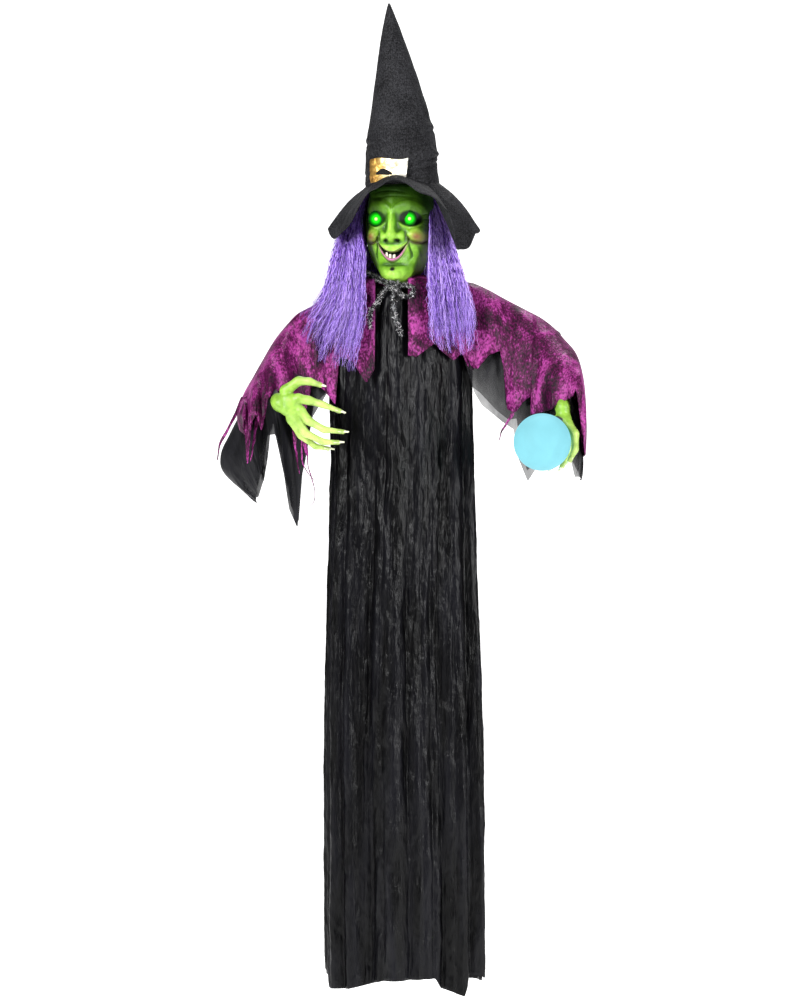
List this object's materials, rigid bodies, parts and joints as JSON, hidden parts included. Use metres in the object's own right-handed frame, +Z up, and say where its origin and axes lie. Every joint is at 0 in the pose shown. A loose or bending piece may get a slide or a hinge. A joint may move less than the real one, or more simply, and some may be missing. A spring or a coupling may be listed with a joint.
{
  "type": "hanging animated witch figure",
  "caption": "Life-size hanging witch with a turning lit head, purple hair, tall hat, jointed arms, a glowing ball and a long black gown.",
  "frame": {"origin": "centre of the eye in the steel plate behind the neck, which the figure hangs by", "axes": "+Z up, -Y the way the figure faces, +X towards the figure's own left hand"},
  "size_m": [0.6682, 0.3444, 1.8294],
  "materials": {
    "yoke": "black moulded nylon",
    "zinc_steel": "bright zinc plate",
    "motor_body": "moulded gear case",
    "board_green": "solder mask",
    "cell_wrap": "printed wrap, plain",
    "speaker_black": "paper cone and steel frame",
    "box_black": "fine moulded texture",
    "slider_red": "moulded",
    "taffeta": "black taffeta with a soft sheen",
    "velvet": "crushed velvet",
    "chiffon": "thin sheer weave",
    "tinsel": "black and silver tinsel cord",
    "green_skin": "painted soft vinyl",
    "hand_skin": "painted soft vinyl, paler",
    "tooth": "painted",
    "eye_socket": "black",
    "lamp_green": "lit",
    "lead": "insulation",
    "wig_net": "knitted cap",
    "hair_purple": "crimped fibre",
    "hat_cloth": "woven black",
    "hat_satin": "satin",
    "gold_foil": "gold lame",
    "ball_cyan": "translucent, lit"
  },
  "bodies": {
    "torso": {"shoulder_yoke": "yoke", "hanging_plate": "zinc_steel", "hanging_plate_screws": "zinc_steel", "neck_motor": "motor_body", "motor_screws": "zinc_steel", "neck_bearing": "yoke", "shoulder_bolts": "zinc_steel", "shoulder_wing_nuts": "zinc_steel", "control_box_shell": "box_black", "control_box_cover": "box_black", "control_box_screws": "zinc_steel", "speaker": "speaker_black", "circuit_board": "board_green", "sound_sensor": "zinc_steel", "battery_cells": "cell_wrap", "battery_contacts": "zinc_steel", "robe": "taffeta", "cape": "velvet", "tie_band": "tinsel", "tie_bow": "tinsel", "eye_lead": "lead"},
    "head": {"face_shell": "green_skin", "head_back_shell": "green_skin", "neck_tube": "yoke", "neck_shaft": "zinc_steel", "eye_holders": "eye_socket", "eye_lamps": "lamp_green", "teeth": "tooth", "wig_cap": "wig_net", "hair_right_front": "hair_purple", "hair_left_front": "hair_purple", "hair_right_back": "hair_purple", "hair_left_back": "hair_purple", "hat_crown": "hat_cloth", "hat_brim": "hat_cloth", "hat_band": "hat_satin", "hat_buckle": "gold_foil"},
    "battery_door": {"battery_door": "box_black"},
    "power_slider": {"power_slider": "slider_red"},
    "right_upper_arm": {"right_upper_arm": "yoke", "right_elbow_bolt": "zinc_steel", "right_sleeve_upper": "velvet"},
    "right_forearm": {"right_forearm": "yoke", "right_velvet_cuff": "velvet", "right_chiffon_cuff": "chiffon"},
    "left_upper_arm": {"left_upper_arm": "yoke", "left_elbow_bolt": "zinc_steel", "left_sleeve_upper": "velvet"},
    "left_forearm": {"left_forearm": "yoke", "left_velvet_cuff": "velvet", "left_chiffon_cuff": "chiffon"},
    "right_hand": {"right_hand": "hand_skin", "right_wrist_screw": "zinc_steel"},
    "left_hand": {"left_hand": "hand_skin", "left_wrist_screw": "zinc_steel", "crystal_ball": "ball_cyan", "ball_base": "box_black", "ball_lamp": "lamp_green"}
  },
  "joints": [
    {"name": "head_turn", "type": "hinge", "parent": "torso", "child": "head", "pos_m": [0, -0.048, 0.003], "axis": [0, 0, 1], "range_deg": [-25, 35], "deforming": ["hair_right_front", "hair_left_front", "hair_right_back", "hair_left_back", "eye_lead"]},
    {"name": "battery_door_slide", "type": "slide", "parent": "torso", "child": "battery_door", "axis": [0, 0, -1], "range_m": [0, 0.06]},
    {"name": "power_slide", "type": "slide", "parent": "torso", "child": "power_slider", "axis": [1, 0, 0], "range_m": [0, 0.008]},
    {"name": "right_shoulder", "type": "hinge", "parent": "torso", "child": "right_upper_arm", "pos_m": [-0.115, -0.048, -0.01], "axis": [0, 1, 0], "range_deg": [-15, 65], "deforming": ["right_sleeve_upper", "cape"]},
    {"name": "right_elbow", "type": "hinge", "parent": "right_upper_arm", "child": "right_forearm", "pos_m": [-0.24458, -0.048, -0.14896], "axis": [-0.6784, -0.3736, 0.6326], "range_deg": [-35, 25], "deforming": ["right_velvet_cuff", "right_chiffon_cuff"]},
    {"name": "right_wrist", "type": "hinge", "parent": "right_forearm", "child": "right_hand", "pos_m": [-0.21727, -0.19659, -0.20743], "axis": [0.1686, -0.9172, -0.3609], "range_deg": [-35, 35]},
    {"name": "left_shoulder", "type": "hinge", "parent": "torso", "child": "left_upper_arm", "pos_m": [0.115, -0.048, -0.01], "axis": [0, -1, 0], "range_deg": [-35, 50], "deforming": ["left_sleeve_upper", "cape"]},
    {"name": "left_elbow", "type": "hinge", "parent": "left_upper_arm", "child": "left_forearm", "pos_m": [0.28857, -0.048, -0.08728], "axis": [-0.2937, 0.6919, -0.6596], "range_deg": [-30, 25], "deforming": ["left_velvet_cuff", "left_chiffon_cuff"]},
    {"name": "left_wrist", "type": "hinge", "parent": "left_forearm", "child": "left_hand", "pos_m": [0.29797, -0.15748, -0.20632], "axis": [0.058, -0.6758, -0.7348], "range_deg": [-30, 30]}
  ]
}
